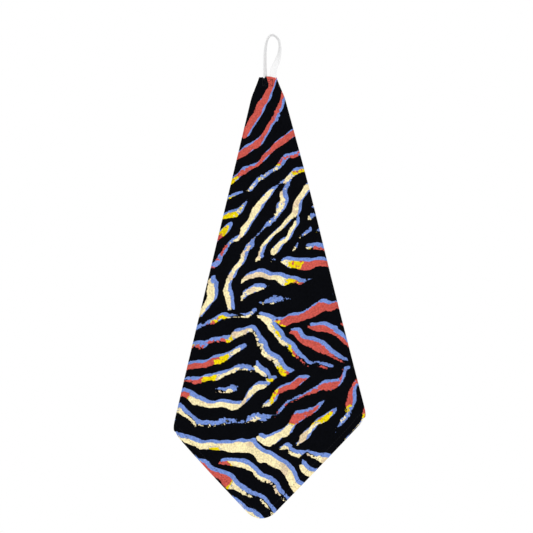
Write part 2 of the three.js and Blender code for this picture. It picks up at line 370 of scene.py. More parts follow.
FLOW = [Mark(*m) for m in (
    (0, -26, 64), (-18, -40, 58), (-6, -60, 80), (-34, -72, 74), (24, -46, 70), (18, -74, 27),
    (-14, -104, 28), (26, -102, 38), (-26, -142, 33), (32, -128, 36), (-52, -170, 30), (-20, -178, 56),
    (10, -178, 60), (42, -164, 62), (-34, -214, 50), (-52, -242, 40), (-2, -226, 48), (46, -200, 60),
    (70, -208, 8), (60, -240, -6), (-64, -196, 38), (-2, -252, -25), (48, -256, -14), (-18, -276, 30),
    (-46, -278, -68), (-76, -286, 78), (22, -286, 14), (74, -276, 72), (42, -308, 18), (80, -300, 12),
    (-2, -336, -44), (36, -334, -46), (72, -324, -22), (100, -348, -34), (62, -362, -38), (26, -350, -42),
    (108, -386, 64), (82, -382, 10), (50, -394, 24), (26, -412, 36), (74, -416, 36), (-6, -414, 82),
    (-66, -334, 8), (-82, -360, 4), (-34, -350, 28), (-8, -364, -40), (-22, -384, 36), (-88, -390, 14),
    (-48, -402, 8), (-94, -414, -40), (-52, -434, 6), (-16, -440, 14), (18, -448, 46), (50, -456, 36),
    (114, -412, 62), (108, -440, 66), (-52, -462, 18), (-80, -468, -18), (-8, -478, -34), (32, -482, -44),
    (62, -482, -22), (-28, -502, -34), (2, -524, -38), (44, -506, -32), (6, -544, -30),
    (160, -300, 40), (-160, -300, -30), (230, -290, 10), (-230, -280, 30),
)]
GROUND = [Mark(*m) for m in (
    (2, -34, -1), (-22, -66, -1), (24, -46, -1), (24, -74, -1), (-20, -106, -1), (34, -102, -1),
    (-38, -160, 0), (-4, -130, 0), (42, -116, 0), (8, -142, 1), (-6, -168, 1), (36, -164, 1),
    (-18, -204, 1), (22, -206, 1), (-32, -240, 1), (2, -246, 1), (-50, -192, 0), (-60, -234, -1),
    (56, -182, 1), (50, -210, 1), (64, -208, 0), (76, -216, -1), (46, -240, 0), (60, -240, -1),
    (6, -260, 1), (-24, -272, 1), (-44, -276, 1), (-2, -284, 1), (36, -272, 0), (74, -264, -1),
    (72, -286, -1), (48, -292, -1), (26, -292, 0), (-62, -300, 0), (-76, -284, 1), (-6, -332, 1),
    (24, -322, 0), (38, -308, -1), (64, -324, -1), (96, -330, -1), (12, -348, 1), (32, -362, 0),
    (48, -376, -1), (64, -356, -1), (94, -370, -1), (104, -382, -1), (-64, -338, -1), (-90, -336, 0),
    (-42, -340, 0), (-30, -340, 1), (-82, -364, -1), (-56, -366, 0), (-94, -392, -1), (-74, -386, 0),
    (-40, -384, 1), (-14, -356, 1), (22, -380, 0), (-82, -406, 1), (-34, -402, 1), (-6, -414, 1),
    (14, -406, 0), (32, -414, -1), (54, -400, -1), (50, -424, -1), (82, -426, 0), (92, -406, -1),
    (124, -402, -1), (116, -420, 0), (110, -440, 1), (38, -456, 1), (78, -454, 1), (-68, -444, 1),
    (-94, -462, 1), (-34, -472, 1), (-64, -482, 0), (-58, -492, -1), (2, -510, 1), (54, -478, 1),
    (38, -502, 1), (-14, -528, 1), (150, -300, 1), (-150, -280, -1), (220, -280, -1), (-220, -290, 1),
)]


@dataclass
class ZebraPrint:
    """Stripe fields over the flat cloth, grown from seeded noise along the flow marks."""

    step: float = 2.0
    half_width: float = 306.0
    height: float = 604.0
    wavelength: float = 21.5
    draw_out: float = 12.0
    unevenness: float = 0.41
    waviness: float = 1.5
    rounds: int = 10
    seed: int = 4
    ink_share: float = 0.25
    shade_share: float = 0.16
    shade_shift: tuple[float, float] = (3.6, 3.4)
    draw_reach: float = 24.0
    draw_step: float = 4.0
    wave_blur: float = 38.0
    wave_spread: float = 0.13
    band_reach: float = 1.4
    band_step: float = 0.14
    band_width: float = 0.48
    level_blur: float = 16.0
    slow_rounds: int = 8
    slow_blur: float = 3.4
    bend_blurs: tuple[float, ...] = (5.0, 5.0, 13.0, 13.0)
    slow_bend: float = 1.6
    evening: float = 0.9
    evening_rounds: int = 4
    evening_blur: float = 26.0
    front_spread: float = 0.26
    front_foot: float = 560.0
    ground_sharpness: float = 2.4
    stripes: Array = field(init=False)
    ground: Array = field(init=False)

    def __post_init__(self) -> None:
        """Grows the fields."""
        self.us = np.arange(-self.half_width, self.half_width + self.step, self.step)
        self.vs = np.arange(-self.height, 20.0, self.step)
        grid_u, grid_v = np.meshgrid(self.us, self.vs)
        angle = self.blended(grid_u, grid_v, FLOW, doubled=True)
        self.stripes = self.grown(grid_u, grid_v, angle)
        self.ground = self.blended(grid_u, grid_v, GROUND, doubled=False)
        self.ink_level, self.shade_level = self.levels()

    @staticmethod
    def blended(u: Array, v: Array, marks: list[Mark], doubled: bool) -> Array:
        """Spreads marks over the cloth by nearness.

        Args:
            u: Places, right positive.
            v: Places, up positive.
            marks: The marks.
            doubled: True for stripe angles, which are the same half a turn on.

        Returns:
            The value at each place, in radians where doubled.
        """
        total = np.zeros(u.shape, complex if doubled else float)
        weight = np.zeros(u.shape)
        for mark in marks:
            near = ((u - mark.u) ** 2 + (v - mark.v) ** 2 + (100.0 if doubled else 30.0)) ** -2.0
            value = np.exp(2j * math.radians(mark.value)) if doubled else mark.value
            total += near * value
            weight += near
        return np.angle(total) / 2.0 if doubled else total / weight

    def sampler(self, u: Array, v: Array) -> Callable[[Array], Array]:
        """A function that reads a field at given places."""
        col = np.clip((u - self.us[0]) / self.step, 0.0, len(self.us) - 1.001)
        row = np.clip((v - self.vs[0]) / self.step, 0.0, len(self.vs) - 1.001)
        i, j = row.astype(int), col.astype(int)
        fi, fj = row - i, col - j
        corner = i * len(self.us) + j
        parts = [(corner, (1 - fi) * (1 - fj)), (corner + 1, (1 - fi) * fj),
                 (corner + len(self.us), fi * (1 - fj)), (corner + len(self.us) + 1, fi * fj)]

        def read(values: Array) -> Array:
            """The field at those places, between its grid's points."""
            flat = values.ravel()
            return sum(flat[index] * share for index, share in parts)

        return read

    def softened(self, values: Array, reach: float) -> Array:
        """A field blurred over a reach in millimetres."""
        count = round(2.5 * reach / self.step)
        kernel = np.exp(-((np.arange(-count, count + 1) * self.step / reach) ** 2) / 2.0)
        kernel /= kernel.sum()
        for _ in range(2):
            padded = np.pad(values, ((count, count), (0, 0)), mode="edge")
            values = sum(padded[k:k + len(values)] * share for k, share in enumerate(kernel)).T
        return values

    def grown(self, u: Array, v: Array, angle: Array) -> Array:
        """Grows stripes: noise is drawn out along the flow and banded across it, again and again."""
        rng = np.random.default_rng(self.seed)
        stripes = rng.normal(size=u.shape)
        cos, sin = np.cos(angle), np.sin(angle)
        along = [(self.sampler(u + d * cos, v + d * sin), math.exp(-((d / self.draw_out) ** 2) / 2.0))
                 for d in np.arange(-self.draw_reach, self.draw_reach + 1.0, self.draw_step)]
        spread = self.softened(rng.normal(size=u.shape), self.wave_blur)
        wave = self.wavelength * (1.0 + self.wave_spread * np.clip(spread / spread.std(), -1.6, 1.6))
        reach = np.arange(-self.band_reach, self.band_reach + 0.001, self.band_step)
        band = np.cos(2.0 * math.pi * reach) * np.exp(-((reach / self.band_width) ** 2) / 2.0)
        band -= band.mean()
        across = [(self.sampler(u - d * wave * sin, v + d * wave * cos), share)
                  for d, share in zip(reach, band)]
        for _ in range(self.rounds):
            for reads in (along, across):
                stripes = sum(read(stripes) * share for read, share in reads)
            stripes = np.tanh(1.2 * stripes / np.sqrt(self.softened(stripes**2, self.level_blur) + 1e-12))
        slow = rng.normal(size=u.shape)
        for _ in range(self.slow_rounds):
            slow = self.softened(sum(read(slow) * share for read, share in along), self.slow_blur)
        bends = [self.softened(rng.normal(size=u.shape), blur) for blur in self.bend_blurs]
        bends = [bend / bend.std() * self.waviness for bend in bends]
        stripes = stripes + self.unevenness * slow / slow.std()
        stripes = self.sampler(u + bends[0] + self.slow_bend * bends[2],
                               v + bends[1] + self.slow_bend * bends[3])(stripes)
        level = np.quantile(stripes, 1.0 - self.ink_share)
        for _ in range(self.evening_rounds):
            inked = self.softened((stripes > level) * 1.0, self.evening_blur)
            stripes = stripes + self.evening * (self.ink_share - inked)
        return stripes

    def shifted(self, u: Array, v: Array) -> Array:
        """The stripes field moved to where the shade prints, at given places."""
        return self.sampler(u - self.shade_shift[0], v - self.shade_shift[1])(self.stripes)

    def levels(self) -> tuple[float, float]:
        """The values over which ink and shade print, so that each takes its share of the front."""
        drop = -self.vs[:, None]
        front = (np.abs(self.us)[None, :] < self.front_spread * drop) & (drop < self.front_foot)
        ink = np.quantile(self.stripes[front], 1.0 - self.ink_share)
        bare = self.shifted(*np.meshgrid(self.us, self.vs))[front][self.stripes[front] < ink]
        return ink, np.quantile(bare, 1.0 - self.shade_share / (1.0 - self.ink_share))

    def fields(self, u: Array, v: Array) -> dict[str, Array]:
        """The print's three fields at places on the flat cloth.

        Args:
            u: Places, right positive, in millimetres.
            v: Places, up positive.

        Returns:
            The ink and shade fields, positive where they print, and the ground field.
        """
        read = self.sampler(u, v)
        return {"print_ink": read(self.stripes) - self.ink_level,
                "print_shade": self.shifted(u, v) - self.shade_level,
                "print_ground": np.tanh(self.ground_sharpness * read(self.ground))}


# ---------------------------------------------------------------- mesh making


def normals_of(place: Place, p: Array, q: Array) -> Array:
    """Unit normals of a placed surface.

    Args:
        place: Gives points for two surface coordinates.
        p: First coordinate.
        q: Second coordinate.

    Returns:
        The normals, along the cross product of the two directions.
    """
    tiny = 0.04
    along_p = place(p + tiny, q) - place(p - tiny, q)
    along_q = place(p, q + tiny) - place(p, q - tiny)
    return unit(np.cross(along_p, along_q))


def new_piece(name: str, points: Array, faces: list[tuple[int, ...]],
              smooth_angle: float = 50.0) -> bpy.types.Object:
    """A mesh object from points in millimetres, with its faces outwards.

    Args:
        name: The piece's name.
        points: One row for each vertex.
        faces: Vertex numbers of each face.
        smooth_angle: Edges sharper than this, in degrees, stay crisp.

    Returns:
        The new object.
    """
    mesh = bpy.data.meshes.new(name)
    mesh.from_pydata((np.asarray(points) * MM).tolist(), [], faces)
    mesh.update()
    piece = bpy.data.objects.new(name, mesh)
    bpy.context.scene.collection.objects.link(piece)
    bpy.ops.object.select_all(action="DESELECT")
    bpy.context.view_layer.objects.active = piece
    piece.select_set(True)
    bpy.ops.object.mode_set(mode="EDIT")
    bpy.ops.mesh.select_all(action="SELECT")
    bpy.ops.mesh.normals_make_consistent(inside=False)
    bpy.ops.object.mode_set(mode="OBJECT")
    bpy.ops.object.shade_smooth_by_angle(angle=math.radians(smooth_angle))
    piece.select_set(False)
    return piece


def set_fields(piece: bpy.types.Object, values: dict[str, Array]) -> None:
    """Stores a number for each vertex under each name."""
    for name, value in values.items():
        layer = piece.data.attributes.new(name, "FLOAT", "POINT")
        layer.data.foreach_set("value", np.asarray(value, np.float32).ravel())


def set_uv(piece: bpy.types.Object, u: Array, v: Array) -> None:
    """Stores a UV map, in metres of cloth, from one pair for each vertex."""
    loops = np.zeros(len(piece.data.loops), np.int32)
    piece.data.loops.foreach_get("vertex_index", loops)
    pairs = np.stack([np.asarray(u).ravel(), np.asarray(v).ravel()], axis=-1)[loops] * MM
    layer = piece.data.uv_layers.new(name="cloth")
    layer.data.foreach_set("uv", pairs.astype(np.float32).ravel())


def tube_faces(rings: int, sides: int, first: int = 0) -> list[tuple[int, ...]]:
    """Faces of a closed tube with flat ends: rings of sides vertices, numbered from first."""
    faces = []
    for i in range(rings - 1):
        for k in range(sides):
            a, b = first + i * sides + k, first + i * sides + (k + 1) % sides
            faces.append((a, b, b + sides, a + sides))
    last = first + (rings - 1) * sides
    faces.append(tuple(range(first + sides - 1, first - 1, -1)))
    faces.append(tuple(range(last, last + sides)))
    return faces


def slab_faces(rows: int, columns: int) -> tuple[list[tuple[int, ...]], list[int]]:
    """Faces of a sheet with two sides and a wall round it.

    Args:
        rows: Rows of points on each side.
        columns: Points in each row.

    Returns:
        The faces, and for each one 0 on the first side or the wall, or 1 on the second side.
    """
    count = rows * columns
    index = np.arange(count).reshape(rows, columns)
    quads = np.stack([index[:-1, :-1], index[1:, :-1], index[1:, 1:], index[:-1, 1:]], axis=-1).reshape(-1, 4)
    rim = np.concatenate([index[0, :-1], index[:-1, -1], index[-1, :0:-1], index[:0:-1, 0]])
    after = np.roll(rim, -1)
    walls = np.stack([rim, after, after + count, rim + count], axis=-1)
    faces = [tuple(f) for part in (quads, quads[:, ::-1] + count, walls) for f in part.tolist()]
    return faces, [0] * len(quads) + [1] * len(quads) + [0] * len(walls)


class ThreadWork:
    """Short closed stitches of one thread, gathered into a piece."""

    def __init__(self, sides: int = 6) -> None:
        """Starts with no stitches."""
        self.angles = np.arange(sides) * 2.0 * math.pi / sides
        self.vertices: list[Array] = []
        self.faces: list[tuple[int, ...]] = []
        self.uvs: list[Array] = []

    def add(self, centre: Array, across: Array, out: Array, run: Array) -> None:
        """Adds a stitch.

        Args:
            centre: Points of its middle line, as many in every stitch.
            across: Half its width at each point, as a vector.
            out: Half its height at each point, as a vector.
            run: Distance along the thread at each point.
        """
        sides = len(self.angles)
        ring = (across[:, None] * np.cos(self.angles)[None, :, None]
                + out[:, None] * np.sin(self.angles)[None, :, None])
        self.faces += tube_faces(len(centre), sides, len(self.vertices) * len(centre) * sides)
        self.vertices.append((centre[:, None] + ring).reshape(-1, 3))
        self.uvs.append(np.stack([np.repeat(run, sides), np.tile(self.angles, len(centre))], axis=-1))

    def piece(self, name: str) -> bpy.types.Object:
        """Makes the piece, with its UV map along and round the thread."""
        piece = new_piece(name, np.concatenate(self.vertices), self.faces)
        set_uv(piece, *np.concatenate(self.uvs).T)
        return piece


@dataclass
class Edge:
    """A run of the cloth's edge, as close points with the way into the cloth."""

    points: Array
    into: Array

    @classmethod
    def through(cls, corners: list[Array], radius: float, inward: int, step: float = 1.6) -> "Edge":
        """An edge through corners, with its middle corners rounded.

        Args:
            corners: Two or three points.
            radius: Of the rounded corner.
            inward: 1 if the cloth lies to the left of the way along, or -1.
            step: Space between points.

        Returns:
            The edge.
        """
        points, into = [], []

        def inwards(way: Array) -> Array:
            """Square to the way along, into the cloth."""
            return inward * np.array([-way[1], way[0]])

        def straight(a: Array, b: Array) -> None:
            """Adds points from a to b."""
            way = unit(b - a)
            for share in np.linspace(0.0, 1.0, max(2, round(float(np.linalg.norm(b - a)) / step))):
                points.append(a + (b - a) * share)
                into.append(inwards(way))

        start = np.asarray(corners[0], float)
        for before, corner, after in zip(corners, corners[1:], corners[2:]):
            way_in, way_out = unit(np.subtract(corner, before)), unit(np.subtract(after, corner))
            turn = math.acos(float(np.clip(way_in @ way_out, -1.0, 1.0)))
            tangent = radius * math.tan(turn / 2.0)
            end = np.asarray(corner, float) - way_in * tangent
            straight(start, end)
            centre = end + inwards(way_in) * radius
            for share in np.linspace(0.0, 1.0, 26)[1:-1]:
                way = unit(inwards(way_in) * (1.0 - share) + inwards(way_out) * share)
                points.append(centre - way * radius)
                into.append(way)
            start = np.asarray(corner, float) + way_out * tangent
        straight(start, np.asarray(corners[-1], float))
        return cls(np.array(points), np.array(into))

    @property
    def run(self) -> Array:
        """Distance along the edge at each point."""
        steps = np.linalg.norm(np.diff(self.points, axis=0), axis=1)
        return np.concatenate([[0.0], np.cumsum(steps)])

    def at(self, distance: Array) -> tuple[Array, Array]:
        """Points and ways in, at distances along the edge."""
        run = self.run
        points = np.stack([np.interp(distance, run, self.points[:, k]) for k in (0, 1)], axis=-1)
        into = np.stack([np.interp(distance, run, self.into[:, k]) for k in (0, 1)], axis=-1)
        return points, into


@dataclass
class Panel:
    """One layer of the hanging cloth, with its turned hem and its stitching."""

    name: str
    cloth: HangingCloth
    place: Place
    flat: Callable[[Array, Array], tuple[Array, Array]]
    rows: tuple[Array, Array]
    edge: Edge
    reverse_sign: float
    zebra: ZebraPrint
    thin_at: tuple[float, ...] = ()

    def reverse_normals(self, p: Array, q: Array) -> Array:
        """Unit normals that point to the reverse of the cloth."""
        return self.reverse_sign * normals_of(self.place, p, q)

    def sheet(self) -> bpy.types.Object:
        """The layer itself: printed side, reverse and raw rim, as one closed sheet."""
        p, q = self.rows
        middle = self.place(p, q)
        half = self.reverse_normals(p, q) * self.cloth.cut.thickness / 2.0
        points = np.concatenate([(middle - half).reshape(-1, 3), (middle + half).reshape(-1, 3)])
        faces, sides = slab_faces(*p.shape)
        piece = new_piece(self.name + "_cloth", points, faces)
        piece.data.polygons.foreach_set("material_index", np.array(sides, np.int32))
        u, v = (np.concatenate([part.ravel()] * 2) for part in self.flat(p, q))
        set_uv(piece, u, v)
        set_fields(piece, self.zebra.fields(u, v))
        return piece

    def hem_height(self, distance: Array) -> Array:
        """Thickness of the turned hem along the edge, thin where a fold presses it."""
        share = np.ones_like(distance)
        for foot in self.thin_at:
            share = np.minimum(share, 0.2 + 0.8 * smoothstep(np.abs(distance - foot), 0.0, 14.0))
        pucker = 1.0 + 0.06 * np.sin(distance * 2.0 * math.pi / 9.6) + 0.05 * np.sin(distance / 2.3)
        return self.cloth.cut.hem_thickness * share * pucker

    def hem(self) -> bpy.types.Object:
        """The border turned under: a flat band on the reverse that rolls round the edge."""
        cut = self.cloth.cut
        half, width = cut.thickness / 2.0, cut.hem_width
        # each point: inset from the edge, height over the cloth's middle, share of the hem's own height
        section = [(1.3, -half - 0.02, 0.0), (0.5, -half - 0.10, 0.0), (0.0, -half + 0.12, 0.0),
                   (-0.05, 0.0, 0.0), (0.0, half, 0.35), (0.45, half, 0.8), (1.3, half, 1.0),
                   (4.0, half, 1.0), (6.6, half, 0.98), (7.6, half, 0.78), (8.4, half, 0.78),
                   (9.1, half, 0.95), (width - 0.3, half, 0.85), (width, half, 0.5),
                   (width - 0.25, half + 0.05, 0.0), (5.0, half + 0.05, 0.0), (1.6, half + 0.05, 0.0),
                   (0.95, 0.2, 0.0), (1.0, -half + 0.2, 0.0)]
        edge, height = self.edge, self.hem_height(self.edge.run)
        inset = np.array([s[0] for s in section])
        place = edge.points[:, None, :] + edge.into[:, None, :] * inset[None, :, None]
        base, share = np.array([s[1:] for s in section]).T
        lift = base[None, :] + share * height[:, None]
        p, q = place[..., 0], place[..., 1]
        points = self.place(p, q) + self.reverse_normals(p, q) * lift[..., None]
        faces = tube_faces(len(edge.points), len(section))
        piece = new_piece(self.name + "_turned_hem", points.reshape(-1, 3), faces, 62.0)
        outside = edge.points[:, None, :] - edge.into[:, None, :] * inset[None, :, None]
        u, v = self.flat(outside[..., 0], outside[..., 1])
        set_uv(piece, u, v)
        set_fields(piece, self.zebra.fields(u.ravel(), v.ravel()))
        return piece

    def stitching(self) -> bpy.types.Object:
        """Lockstitches along the hem, on both of its sides."""
        cut, run = self.cloth.cut, self.edge.run[-1]
        count = max(1, int((run - 1.0) / cut.stitch_pitch))
        middles = (run - count * cut.stitch_pitch) / 2.0 + cut.stitch_pitch * (np.arange(count) + 0.5)
        shares = np.array([-0.5, -0.36, 0.0, 0.36, 0.5])
        swell = np.array([0.45, 0.9, 1.0, 0.9, 0.45])[:, None]
        distance = middles[:, None] + shares[None, :] * cut.stitch_length
        points, into = self.edge.at(distance)
        way = points + into * cut.stitch_inset
        p, q = way[..., 0], way[..., 1]
        base, normal = self.place(p, q), self.reverse_normals(p, q)
        across = np.cross(normal, unit(np.gradient(base, axis=1)))
        on_hem = cut.thickness / 2.0 + self.hem_height(distance) * 0.78 + 0.06
        on_print = -(cut.thickness / 2.0 - 0.05) * np.ones_like(on_hem)
        work = ThreadWork()
        for lift in (on_print, on_hem):
            dip = 0.16 * np.abs(shares * 2.0) ** 2 * np.sign(lift)
            centre = base + normal * (lift - dip)[..., None]
            for k in range(count):
                work.add(centre[k], across[k] * swell * 0.36, normal[k] * swell * 0.21, distance[k])
        return work.piece(self.name + "_stitching")


# ---------------------------------------------------------------- materials


class Sketch:
    """A small helper that adds and joins shader nodes."""

    def __init__(self, tree: bpy.types.NodeTree) -> None:
        """Keeps the node tree."""
        self.tree = tree

    def add(self, kind: str, inputs: dict | None = None, **settings: object) -> bpy.types.Node:
        """Adds a node.

        Args:
            kind: The node's type name.
            inputs: Values or sockets for its inputs, by name or number.
            **settings: Its properties.

        Returns:
            The node.
        """
        node = self.tree.nodes.new(kind)
        for key, value in settings.items():
            setattr(node, key, value)
        for key, value in (inputs or {}).items():
            self.set(node.inputs[key], value)
        return node

    def set(self, socket: bpy.types.NodeSocket, value: object) -> None:
        """Gives an input a value, or joins it to an output."""
        if isinstance(value, bpy.types.NodeSocket):
            self.tree.links.new(value, socket)
        else:
            socket.default_value = value

    def math(self, operation: str, *values: object) -> bpy.types.NodeSocket:
        """The result of a Math node."""
        node = self.add("ShaderNodeMath", dict(enumerate(values)), operation=operation)
        return node.outputs[0]

    def mix(self, share: object, first: object, second: object) -> bpy.types.NodeSocket:
        """The colour between two others."""
        node = self.add("ShaderNodeMix", data_type="RGBA")
        for socket, value in ((node.inputs[0], share), (node.inputs[6], first), (node.inputs[7], second)):
            self.set(socket, value)
        return node.outputs[2]

    def noise(self, vector: object, scale: float, detail: float = 2.0,
              roughness: float = 0.5) -> bpy.types.NodeSocket:
        """The strength of a Noise Texture."""
        node = self.add("ShaderNodeTexNoise", {"Vector": vector, "Scale": scale, "Detail": detail,
                                              "Roughness": roughness})
        return node.outputs["Fac"]

    def wander(self, noise: object, amount: float) -> bpy.types.NodeSocket:
        """A noise strength as an amount either side of nothing."""
        return self.math("MULTIPLY", self.math("SUBTRACT", noise, 0.5), amount)

    def spread(self, value: object, low: float, high: float) -> bpy.types.NodeSocket:
        """A value from 0 to 1, brought to between low and high."""
        return self.add("ShaderNodeMapRange", {"Value": value, "To Min": low, "To Max": high}).outputs[0]

    def bump(self, height: object, strength: float, distance: float) -> bpy.types.NodeSocket:
        """The normal of a Bump node."""
        node = self.add("ShaderNodeBump", {"Height": height, "Strength": strength, "Distance": distance})
        return node.outputs["Normal"]


def rgba(colour: tuple[float, float, float]) -> tuple[float, float, float, float]:
    """A colour with full alpha."""
    return (*colour, 1.0)


def new_group(name: str, inputs: dict[str, str],
              outputs: dict[str, str]) -> tuple[bpy.types.NodeTree, Sketch]:
    """A shader node group with named sockets.

    Args:
        name: The group's name.
        inputs: Socket types by name.
        outputs: Socket types by name.

    Returns:
        The group and a sketch of it.
    """
    group = bpy.data.node_groups.new(name, "ShaderNodeTree")
    for way, sockets in (("INPUT", inputs), ("OUTPUT", outputs)):
        for socket, kind in sockets.items():
            group.interface.new_socket(socket, in_out=way, socket_type=kind)
    return group, Sketch(group)


def pile_group() -> bpy.types.NodeTree:
    """Terry pile: small loops in uneven rows, as a height and as painted shade between the loops with a broad
    random mottle.
    """
    group, s = new_group("terry_pile", {"Vector": "NodeSocketVector", "Loop size": "NodeSocketFloat"},
                         {"Height": "NodeSocketFloat", "Shade and mottle": "NodeSocketFloat"})
    ins, out = s.add("NodeGroupInput"), s.add("NodeGroupOutput")
    scale = s.math("DIVIDE", 1.0, ins.outputs["Loop size"])
    loops = s.add("ShaderNodeTexVoronoi", {"Vector": ins.outputs["Vector"], "Scale": scale,
                                           "Randomness": 0.72}, feature="F1")
    fuzz = s.noise(ins.outputs["Vector"], s.math("MULTIPLY", scale, 2.7))
    lie = s.noise(ins.outputs["Vector"], s.math("MULTIPLY", scale, 0.09), 3.0)
    tops = s.math("SUBTRACT", 1.0, loops.outputs["Distance"])
    height = s.math("ADD", s.math("MULTIPLY", tops, 0.7), s.math("MULTIPLY", fuzz, 0.4))
    # painted shade: darker between the loops and lighter on their tops, mixed with a broad random mottle
    shade_and_mottle = s.math("ADD", s.math("MULTIPLY", height, 0.7), s.math("MULTIPLY", lie, 0.3))
    s.set(out.inputs["Height"], height)
    s.set(out.inputs["Shade and mottle"], shade_and_mottle)
    return group


def twist_group() -> bpy.types.NodeTree:
    """Yarn twist: slanted strands along a thread, as a height."""
    group, s = new_group("yarn_twist", {"Vector": "NodeSocketVector", "Strand": "NodeSocketFloat"},
                         {"Height": "NodeSocketFloat"})
    ins, out = s.add("NodeGroupInput"), s.add("NodeGroupOutput")
    parts = s.add("ShaderNodeSeparateXYZ", {0: ins.outputs["Vector"]})
    along = s.math("DIVIDE", parts.outputs[0], ins.outputs["Strand"])
    slanted = s.math("ADD", along, s.math("MULTIPLY", parts.outputs[1], 320.0))
    s.set(out.inputs["Height"], s.math("ABSOLUTE", s.math("SINE", s.math("MULTIPLY", slanted, math.pi))))
    return group


class Finish:
    """A material and the nodes that every finish begins with."""

    def __init__(self, name: str) -> None:
        """Makes an empty material with a Principled shader."""
        self.material = bpy.data.materials.new(name)
        self.material.use_nodes = True
        self.material.node_tree.nodes.clear()
        self.sketch = Sketch(self.material.node_tree)
        self.shader = self.sketch.add("ShaderNodeBsdfPrincipled")
        out = self.sketch.add("ShaderNodeOutputMaterial")
        self.sketch.set(out.inputs["Surface"], self.shader.outputs["BSDF"])
        self.cloth = self.sketch.add("ShaderNodeUVMap", uv_map="cloth").outputs["UV"]

    def shade(self, **values: object) -> bpy.types.Material:
        """Sets the shader's inputs, with underscores for spaces."""
        for key, value in values.items():
            self.sketch.set(self.shader.inputs[key.replace("_", " ")], value)
        return self.material

    def group(self, tree: bpy.types.NodeTree, inputs: dict) -> bpy.types.Node:
        """Places a node group."""
        node = self.sketch.add("ShaderNodeGroup", node_tree=tree)
        for key, value in inputs.items():
            self.sketch.set(node.inputs[key], value)
        return node


@dataclass(frozen=True)
class PrintedTerry:
    """Short pile with the zebra print: ragged inked stripes with a blue shade, on black."""

    loop_size: float = 0.0021
    tooth_scale: float = 300.0
    tooth: float = 0.7
    bite_scale: float = 120.0
    bite: float = 0.5
    shade_tooth: float = 0.7
    blot_scale: float = 230.0
    blot: float = 1.3
    speck_scale: float = 620.0
    speck_level: float = 0.52
    worn_scale: float = 26.0
    worn_level: float = 0.57
    yellow_from: float = -0.13
    cream_from: float = 0.27
    speckled_to: float = 0.5

    def material(self, pile: bpy.types.NodeTree) -> bpy.types.Material:
        """Builds the material.

        Args:
            pile: The terry pile group.

        Returns:
            The material.
        """
        finish = Finish("printed_terry")
        s, cloth = finish.sketch, finish.cloth
        fields = {name: s.add("ShaderNodeAttribute", attribute_name=name).outputs["Fac"]
                  for name in ("print_ink", "print_shade", "print_ground")}
        edge = s.math("ADD", s.wander(s.noise(cloth, self.tooth_scale, 3.0, 0.6), self.tooth),
                      s.wander(s.noise(cloth, self.bite_scale), self.bite))
        ink = s.math("GREATER_THAN", s.math("ADD", fields["print_ink"], edge), 0.0)
        shade_edge = s.math("MULTIPLY", edge, self.shade_tooth)
        shade = s.math("GREATER_THAN", s.math("SUBTRACT", fields["print_shade"], shade_edge), 0.0)
        blot = s.wander(s.noise(cloth, self.blot_scale, 3.0, 0.55), self.blot)
        ground = s.math("ADD", fields["print_ground"], blot)
        pale = s.math("GREATER_THAN", ground, self.cream_from)
        speck = s.math("GREATER_THAN", s.noise(cloth, self.speck_scale, 1.0), self.speck_level)
        thin = s.math("MULTIPLY", pale, s.math("LESS_THAN", ground, self.speckled_to))
        dither = s.math("MULTIPLY", speck, thin)
        worn = s.math("GREATER_THAN", s.noise(cloth, self.worn_scale, 3.0, 0.6), self.worn_level)
        cream = s.mix(worn, rgba(Ink.CREAM.value), rgba(Ink.SAND.value))
        inks = s.mix(s.math("GREATER_THAN", ground, self.yellow_from), rgba(Ink.CORAL.value),
                     rgba(Ink.YELLOW.value))
        inks = s.mix(dither, s.mix(pale, inks, cream), rgba(Ink.BLUE.value))
        colour = s.mix(ink, s.mix(shade, rgba(Ink.BLACK.value), rgba(Ink.BLUE.value)), inks)
        loops = finish.group(pile, {"Vector": cloth, "Loop size": self.loop_size})
        # painted shade and highlight of the pile: the print darker between the loops and brighter on their
        # tops
        lit = s.add("ShaderNodeMapRange", {"Value": loops.outputs["Shade and mottle"], "From Min": 0.35,
                                           "From Max": 0.85, "To Min": 0.70, "To Max": 1.43}).outputs[0]
        pile_shaded_colour = s.add("ShaderNodeVectorMath", {0: colour, 1: lit}, operation="MULTIPLY").outputs[0]
        rough = s.spread(loops.outputs["Shade and mottle"], 0.98, 0.84)
        return finish.shade(Base_Color=pile_shaded_colour, Roughness=rough, Specular_IOR_Level=0.03,
                            Sheen_Weight=0.015, Sheen_Roughness=0.5,
                            Normal=s.bump(loops.outputs["Height"], 0.45, 0.0005))


@dataclass(frozen=True)
class PlainTerry:
    """The unprinted reverse: white loop pile, a little uneven, with painted shade between its loops."""

    loop_size: float = 0.0014

    def material(self, pile: bpy.types.NodeTree) -> bpy.types.Material:
        """Builds the material.

        Args:
            pile: The terry pile group.

        Returns:
            The material.
        """
        finish = Finish("plain_terry")
        s = finish.sketch
        loops = finish.group(pile, {"Vector": finish.cloth, "Loop size": self.loop_size})
        # painted shade: grey between the loops, white on their tops
        colour = s.mix(loops.outputs["Shade and mottle"], rgba((0.52, 0.51, 0.50)), rgba((0.90, 0.89, 0.87)))
        rough = s.spread(loops.outputs["Shade and mottle"], 1.0, 0.88)
        return finish.shade(Base_Color=colour, Roughness=rough, Specular_IOR_Level=0.15,
                            Sheen_Weight=0.25, Sheen_Roughness=0.6,
                            Normal=s.bump(loops.outputs["Height"], 0.9, 0.0009))


